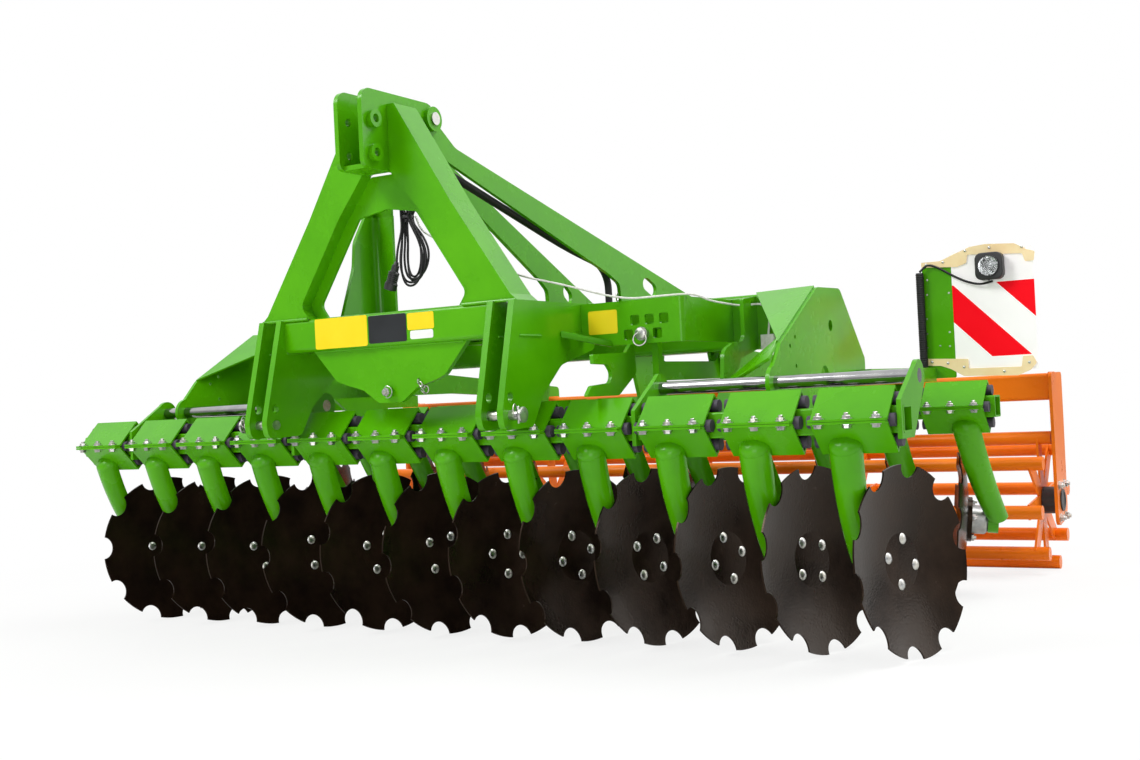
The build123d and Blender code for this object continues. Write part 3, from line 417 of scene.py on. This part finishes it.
def plate(corners, thickness, edge=1.2):
    """A flat plate with softened edges round corners given in mm; its thickness lies half on each side."""
    bpy.ops.object.select_all(action="DESELECT")
    bpy.ops.mesh.primitive_circle_add(vertices=len(corners), radius=0.1, fill_type="NGON")
    made = bpy.context.object
    for vertex, corner in zip(made.data.vertices, corners):
        vertex.co = spot(*corner)
    alone(made)
    thick = made.modifiers.new("thickness", "SOLIDIFY")
    thick.thickness = thickness / 1000
    thick.offset = 0
    soft = made.modifiers.new("edges", "BEVEL")
    soft.width = edge / 1000
    soft.segments = 2
    for name in ("thickness", "edges"):
        bpy.ops.object.modifier_apply(modifier=name)
    bpy.ops.object.mode_set(mode="EDIT")
    bpy.ops.mesh.select_all(action="SELECT")
    bpy.ops.mesh.normals_make_consistent(inside=False)
    bpy.ops.object.mode_set(mode="OBJECT")
    bpy.ops.object.shade_smooth_by_angle(angle=radians(30))
    return made


small_plates = [
    plate(((898, 112, 741), (1118, 6, 862), (1118, -66, 806), (898, 62, 722)), 10),
    plate(((-280, -50, 1348), (-280, 7, 1348), (-280, 7, 1440), (-280, -22, 1440)), 12),
    plate(((-285, 2, 1348), (-204, 2, 1348), (-204, 2, 1440), (-285, 2, 1440)), 12),
]
for s in (-1, 1):
    small_plates += [
        plate(((s * 481, -104, 922), (s * 581, 20, 888), (s * 581, 20, 872), (s * 481, -104, 906)), 12),
        plate(((s * 481, -104, 920), (s * 581, 20, 886), (s * 560, 46, 886), (s * 481, -60, 920)), 10),
    ]
fit(joined(small_plates), "small_plates", "frame", green_powder)

# Blank plates on the crossbeam, the longeron and the depth plate: thin printed film, plain, stuck on
yellow_film = coat("yellow_film", ("#F3D200", "#F6DA1C"), 0.2, (0.3, 0.4), (300, 0.00005))
dark_film = coat("dark_film", ("#15181A", "#1D2124"), 0.2, (0.25, 0.35), (300, 0.00005))
white_film = coat("white_film", ("#E9EAE8", "#F4F4F2"), 0.2, (0.3, 0.4), (300, 0.00005))


def rounded_box(centre, size, axis, radius, segments):
    """A box whose four edges along one axis are rounded; its places and sizes are in metres."""
    bpy.ops.object.select_all(action="DESELECT")
    bpy.ops.mesh.primitive_cube_add(size=1, location=centre)
    box = bpy.context.object
    box.scale = size
    alone(box)
    bpy.ops.object.transform_apply(location=True, rotation=True, scale=True)
    corners = box.modifiers.new("corners", "BEVEL")
    corners.width = radius
    corners.segments = segments
    corners.limit_method = "WEIGHT"
    weights = box.data.attributes.new("bevel_weight_edge", "FLOAT", "EDGE")
    for edge in box.data.edges:
        a, b = (box.data.vertices[v].co for v in edge.vertices)
        weights.data[edge.index].value = 1.0 if abs((a - b)[axis]) > 1e-5 else 0.0
    bpy.ops.object.modifier_apply(modifier="corners")
    return box


def film(low, high, name, material):
    """A thin film plate with rounded corners between two corners given in mm; it is flat on its thin side."""
    low, high = spot(*low), spot(*high)
    size = high - low
    thin = min(range(3), key=lambda axis: abs(size[axis]))
    return fit(rounded_box((low + high) / 2, size, thin, 0.006, 4), name, "frame", material)


film((-265, -330.8, 913), (-60, -330.0, 1006), "plate_yellow_left", yellow_film)
film((-55, -330.8, 918), (88, -330.0, 1001), "plate_dark_middle", dark_film)
film((92, -330.8, 949), (189, -330.0, 999), "plate_yellow_right", yellow_film)
film((101, -330.8, 922), (185, -330.0, 947), "plate_white", white_film)
film((290.0, -45, 918), (290.8, 95, 970), "plate_yellow_longeron", yellow_film)
film((506, 19.2, 912), (605, 20.0, 983), "plate_yellow_depth", yellow_film)

# Pins: turned steel, zinc-plated, each with its head, and a sprung linch pin through its end
dress("frame_pins", zinc_plate)
pin_parts = []
for s in (-1, 1):
    head = turned(((0, 20), (1, 22), (8, 22), (9, 20)), 20)
    head.data.transform(facing(spot(s * 516, -390, 687), (s, 0, 0)))
    clip = turned(((0, 3.2), (1, 4), (46, 4), (48, 3)), 8)
    clip.data.transform(facing(spot(s * 506, -390, 711), (0, 0, -1)))
    bpy.ops.object.select_all(action="DESELECT")
    bpy.ops.mesh.primitive_torus_add(major_radius=0.017, minor_radius=0.0017, major_segments=24, minor_segments=6)
    loop = bpy.context.object
    loop.data.transform(facing(spot(s * 506, -407, 700), (1, 0.3, 0)))
    grip = turned(((0, 14), (1, 16), (5, 16), (6, 14)), 18)
    grip.data.transform(facing(spot(s * 689, 5.7, 905), (0, -1, 0)))
    bpy.ops.object.select_all(action="DESELECT")
    bpy.ops.mesh.primitive_torus_add(major_radius=0.020, minor_radius=0.0022, major_segments=24, minor_segments=6)
    handle = bpy.context.object
    handle.data.transform(facing(spot(s * 689, -2, 889), (0.2, -1, 0.25)))
    pin_parts += [head, clip, loop, grip, handle]
# Rings on the depth plates' tops, and the safety chain by the lobe: place, radius, wire, direction faced
for x, back, z, ring_r, wire_r, lie in (
    (606, 24, 1021, 13, 2.2, (1, 0.35, 0)), (-606, 24, 1021, 13, 2.2, (1, -0.35, 0)),
    (112, -316, 798, 8, 1.6, (1, 0.4, 0)), (121, -318, 789, 8, 1.6, (0.3, 1, 0.4)),
    (130, -318, 780, 8, 1.6, (1, -0.3, 0.5)), (140, -318, 772, 11, 1.6, (0.2, 1, 0)),
    (127, -318, 766, 8, 1.6, (0.6, 0.5, 0.7)),
):
    bpy.ops.object.select_all(action="DESELECT")
    bpy.ops.mesh.primitive_torus_add(major_radius=ring_r / 1000, minor_radius=wire_r / 1000, major_segments=20,
                                     minor_segments=6)
    link = bpy.context.object
    link.data.transform(facing(spot(x, back, z), lie))
    pin_parts.append(link)
lobe_nut = nut.copy()
lobe_nut.data = nut.data.copy()
lobe_nut.data.transform(facing(spot(0, -322, 771), (0, -1, 0), 10) @ Matrix.Scale(1.25, 4))
bpy.context.collection.objects.link(lobe_nut)
fit(joined([*pin_parts, lobe_nut]), "pin_fittings", "frame", zinc_plate)
bpy.data.objects.remove(nut)
bpy.data.objects.remove(low_head)

# Roller: a cage of tubes in star plates, welded up with its frame and coated in orange powder
orange_powder = coat("orange_powder_coat", ("#E8700A", "#F68218"), 0.35, (0.24, 0.38), (220, 0.0004),
                     Specular_IOR_Level=0.2, Coat_Weight=0.04, Coat_Roughness=0.1)
for name in ("roller_frame", "roller_cage"):
    dress(name, orange_powder)
cast_iron = coat("painted_cast_iron", ("#161618", "#232326"), 0.05, (0.35, 0.5), (350, 0.0006))
dress("roller_bearings", cast_iron)

# Bolts of the roller bearings, through the cheeks, and the bearing seats' rims on the cheeks' outer face
roller_back, roller_z = 1750, 258.7
cheek_x = 1500
bearing_bolt = turned(((0, 17), (0.4, 18), (2.6, 18), (2.8, 13), (3.8, 13.8), (12.6, 13.8), (13.6, 12.6),
                       (13.8, 8), (20, 8), (21, 6.8)), 6)
places, rims = [], []
for s in (-1, 1):
    for up, along in ((-62, -44), (-62, 44), (58, -44), (58, 44)):
        places.append(facing(spot(s * cheek_x, roller_back + along, roller_z + up), (s, 0, 0), 20))
    rim = turned(((0, 40), (0.6, 41), (5, 41), (6, 40), (6, 33), (3, 31)), 32)
    rim.data.transform(facing(spot(s * cheek_x, roller_back, roller_z), (s, 0, 0)))
    rims.append(rim)
fit(copies(bearing_bolt, places), "bearing_bolts", "roller_frame", zinc_plate)
bpy.data.objects.remove(bearing_bolt)
fit(joined(rims), "bearing_rims", "roller_frame", cast_iron)

# Weld seams of the roller frame, under the same orange coat
roller_beads = []
for s in (-1, 1):
    for back, z, far_back, far_z in ((1692, 733.5, 1788, 733.5), (1692, 632.5, 1788, 632.5),
                                     (1689.5, 634, 1689.5, 732)):
        roller_beads.append(seam((s * 1487, back, z), (s * 1487, far_back, far_z)))
    for x in (689, 711):
        roller_beads.append(seam((s * x, 1694, 734), (s * x, 1786, 734)))
fit(joined(roller_beads), "roller_frame_welds", "roller_frame", orange_powder)

# Warning boards: sheet steel with retroreflective film, red and white in slanted stripes.
# The film is given a faint glow of its own colours, painted light standing in for the light it sends back, so it
# looks a little brighter than paint would.
board_film_painted_glow = coat("reflective_film_painted_glow", ("#F9F5F6", "#FEFBFC"), 0.1, (0.3, 0.42), (600, 0.00005),
                  Specular_IOR_Level=0.12, Emission_Strength=0.12)
surface = board_film_painted_glow.node_tree.nodes["Principled BSDF"]
plain = surface.inputs["Base Color"].links[0].from_socket
axes = node(board_film_painted_glow, "ShaderNodeSeparateXYZ",
            {"Vector": node(board_film_painted_glow, "ShaderNodeTexCoord").outputs["Object"]})
distance = node(board_film_painted_glow, "ShaderNodeMath", {0: axes.outputs["X"]}, operation="ABSOLUTE")
slant = node(board_film_painted_glow, "ShaderNodeMath", {0: distance.outputs[0], 1: axes.outputs["Z"]}, operation="ADD")


def between(value, low, high):
    """One where a value lies between two limits, zero elsewhere."""
    over = node(board_film_painted_glow, "ShaderNodeMath", {0: value, 1: low}, operation="GREATER_THAN")
    under = node(board_film_painted_glow, "ShaderNodeMath", {0: value, 1: high}, operation="LESS_THAN")
    return node(board_film_painted_glow, "ShaderNodeMath", {0: over.outputs[0], 1: under.outputs[0]},
                operation="MULTIPLY").outputs[0]


# The stripes lie where the distance from the machine's middle plus the height, in m, is between two limits
stripes = node(board_film_painted_glow, "ShaderNodeMath", {0: between(slant.outputs[0], 2.18, 2.315),
                                              1: between(slant.outputs[0], 2.464, 3.0)}, operation="ADD")
band = node(board_film_painted_glow, "ShaderNodeMath", {0: stripes.outputs[0], 1: between(axes.outputs["Z"], 0.800, 1.058)},
            operation="MULTIPLY")
mix = node(board_film_painted_glow, "ShaderNodeMix", {"Factor": band.outputs[0], "A": plain, "B": linear("#FA0018")},
           data_type="RGBA")
# The red and white of the stripes also feed the emission: the board's painted glow.
for socket in ("Base Color", "Emission Color"):
    board_film_painted_glow.node_tree.links.new(mix.outputs["Result"], surface.inputs[socket])
dress("warning_boards", board_film_painted_glow)

# Board holders: injection-moulded cream plastic, screwed to the posts round the board's edge
cream_moulding = coat("cream_moulding", ("#FADCA6", "#FFE6B6"), 0.08, (0.42, 0.55), (500, 0.0001))
dress("board_holders", cream_moulding)

# Lamps: moulded black housings with rounded corners and a collar, each round a clear domed lens.
# The reflector behind the lens is coated metal, with painted reflections: its colour runs dark and bright in small
# patches.
lamp_x, lamp_back, lamp_z = 1393, 1304.4, 1113
reflector_painted_reflections = coat("coated_reflector_painted_reflections", ("#26282A", "#C4C7C9"), 0.014, (0.1, 0.25), (120, 0.002),
                       Metallic=1.0)
clear_lens = coat("clear_polycarbonate", ("#F2F3F3", "#FAFAFA"), 0.05, (0.04, 0.08), (260, 0.0016),
                  Transmission_Weight=1.0, IOR=1.58)
housings, reflectors, lenses = [], [], []
for s in (-1, 1):
    place = facing(spot(s * lamp_x, lamp_back, lamp_z), (0, -1, 0))
    shell = rounded_box((0, 0, 0.019), (0.0945, 0.0945, 0.038), 2, 0.022, 5)
    soft = shell.modifiers.new("edges", "BEVEL")
    soft.width = 0.004
    soft.segments = 5
    soft.limit_method = "ANGLE"
    soft.angle_limit = 0.5
    bpy.ops.object.modifier_apply(modifier="edges")
    bpy.ops.object.shade_smooth_by_angle(angle=radians(35))
    collar = turned(((36, 37.4), (44.4, 37), (45.8, 36.2), (45.8, 35), (44.4, 34.4), (38.2, 34.4)), 40)
    reflector = turned(((43.4, 34.2), (41, 31.5), (39, 22), (38.4, 6)), 40)
    lens = turned(((43.6, 34), (44, 33.6), (45.2, 28), (45.9, 18), (46, 8)), 40)
    for piece in (shell, collar, reflector, lens):
        piece.data.transform(place)
    # Cable entry under the housing, small at a quarter of its drawn size
    foot = turned(((0, 16), (2, 18), (22, 18), (25, 15)), 20)
    foot_place = spot(s * (lamp_x - 4), lamp_back - 21, lamp_z - 44)
    foot.data.transform(facing(foot_place, (0, 0, -1)) @ Matrix.Scale(0.25, 4))
    housings += [shell, collar, foot]
    reflectors.append(reflector)
    lenses.append(lens)
housing = fit(joined(housings), "lamp_housings", "frame", moulded_nylon)
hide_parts("lamps")
fit(joined(reflectors), "lamp_reflectors", "frame", reflector_painted_reflections)
fit(joined(lenses), "lamp_lenses", "frame", clear_lens)

# Conduits: black corrugated sleeve beside the board posts, whose ribs show, and the cables themselves
dress("lighting_cables", cable_sheath)
sleeve_x, sleeve_back, sleeve_low, sleeve_top = 1144.3, 1291.4, 772, 1108
rib_pitch, rib_r, groove_r = 8, 14.4, 13.2
steps = [(0, 12.6)]
for base in range(0, sleeve_top - sleeve_low, rib_pitch):
    steps += [(base + 1, groove_r), (base + 2.5, rib_r), (base + 5, rib_r), (base + 6.5, groove_r)]
sleeves = []
for s in (-1, 1):
    sleeve = turned(steps, 18)
    sleeve.data.transform(facing(spot(s * sleeve_x, sleeve_back, sleeve_low), (0, 0, 1)))
    sleeves.append(sleeve)
fit(joined(sleeves), "conduit_sleeves", "frame", cable_sheath)

# Holder screws: zinc pan heads through the holders into the posts and the boards' edges.
# Rivets close the posts' unused holes. Both lists give places across and in height.
screw = turned(((0, 4.6), (0.6, 5), (2, 4.6), (3, 3), (3.2, 1.2)), 14)
screw_places = [(1166, 1139), (1226, 1143), (1306, 1176), (1390, 1179), (1500, 1172), (1170, 791), (1226, 784),
                (1282, 768), (1420, 746), (1506, 772)]
post_rivets = [(1165, 1085), (1162, 1032), (1157, 946), (1155, 893), (1153, 843), (1240, 1033), (1236, 894),
               (1234, 844), (1200, 847)]
screw_back, rivet_back = 1304.7, 1310
fit(copies(screw, [facing(spot(s * x, screw_back, z), (0, -1, 0)) for s in (-1, 1) for x, z in screw_places]),
    "holder_screws", "frame", zinc_plate)
rivet = turned(((0, 3.6), (0.15, 3.6), (0.2, 3)), 12)
fit(copies(rivet, [facing(spot(s * x, rivet_back, z), (0, -1, 0)) for s in (-1, 1) for x, z in post_rivets]),
    "post_rivets", "frame", zinc_plate)
bpy.data.objects.remove(screw)
bpy.data.objects.remove(rivet)

# Pull rope: white braided polypropylene
braid = coat("braided_polypropylene", ("#D8D6CF", "#F0EFEA"), 0.01, (0.6, 0.8), (500, 0.0006))
dress("pull_rope", braid)

# Floor and light: a pale studio, lit from above, the left and the front.
# The paper floor fades, for the camera only, into the white background away from the machine.
bpy.ops.object.select_all(action="DESELECT")
bpy.ops.mesh.primitive_plane_add(size=60, location=(0, 0, 0))
floor = bpy.context.object
floor.name = "floor"
paper = coat("studio_floor", ("#F1F1EF", "#F4F4F2"), 1.0, (0.85, 0.9), (50, 0.0))
place = node(paper, "ShaderNodeTexCoord").outputs["Object"]
reach = node(paper, "ShaderNodeVectorMath", {0: place}, operation="LENGTH")
away = node(paper, "ShaderNodeMapRange", {"Value": reach.outputs["Value"], "From Min": 1.4, "From Max": 3.6,
                                          "To Min": 0.78, "To Max": 1.0})
seen = node(paper, "ShaderNodeLightPath").outputs["Is Camera Ray"]
fade = node(paper, "ShaderNodeMath", {0: away.outputs["Result"], 1: seen}, operation="MULTIPLY")
white = node(paper, "ShaderNodeEmission", {"Color": (1, 1, 1, 1), "Strength": 1.0})
lit = paper.node_tree.nodes["Principled BSDF"].outputs[0]
blend = node(paper, "ShaderNodeMixShader", {0: fade.outputs[0], 1: lit, 2: white.outputs[0]})
paper.node_tree.links.new(blend.outputs[0], paper.node_tree.nodes["Material Output"].inputs["Surface"])
floor.data.materials.append(paper)
aim = Vector((0, 0, 0.6))
for name, place, size, power in (
    ("key", (-3.4, -5.6, 6.4), 3, 440), ("top", (3.2, 1.2, 6.0), 4, 330), ("fill", (2.2, -7.2, 1.1), 3, 100),
    ("rim", (6.6, 4.6, 2.8), 4, 95),
):
    bpy.ops.object.light_add(type="AREA", location=place)
    lamp = bpy.context.object
    lamp.name = f"light_{name}"
    lamp.data.size = size
    lamp.data.energy = power
    lamp.rotation_euler = (aim - Vector(place)).to_track_quat("-Z", "Y").to_euler()
# White to the camera and through glass; mirrored, it is dimmer at the horizon than overhead; as light, faint
world = bpy.data.worlds.new("studio")
bpy.context.scene.world = world
world.use_nodes = True
sky = world.node_tree.nodes["Background"]
sky.inputs["Color"].default_value = (1, 1, 1, 1)
rays = node(world, "ShaderNodeLightPath").outputs
direction = node(world, "ShaderNodeTexCoord").outputs["Generated"]
height = node(world, "ShaderNodeSeparateXYZ", {"Vector": direction})
sheen = node(world, "ShaderNodeMapRange", {"Value": height.outputs["Z"], "From Min": 0.0, "From Max": 0.5,
                                           "To Min": 0.4, "To Max": 1.4})
sheen = node(world, "ShaderNodeMath", {0: sheen.outputs["Result"], 1: rays["Is Glossy Ray"]}, operation="MULTIPLY")
clear = node(world, "ShaderNodeMath", {0: rays["Is Camera Ray"], 1: rays["Is Transmission Ray"]}, operation="MAXIMUM")
ambient = 0.28
strength = node(world, "ShaderNodeMath", {0: sheen.outputs[0], 1: clear.outputs[0]}, operation="MAXIMUM")
strength = node(world, "ShaderNodeMath", {0: strength.outputs[0], 1: ambient}, operation="MAXIMUM")
world.node_tree.links.new(strength.outputs[0], sky.inputs["Strength"])
bpy.context.scene.view_settings.view_transform = "Standard"
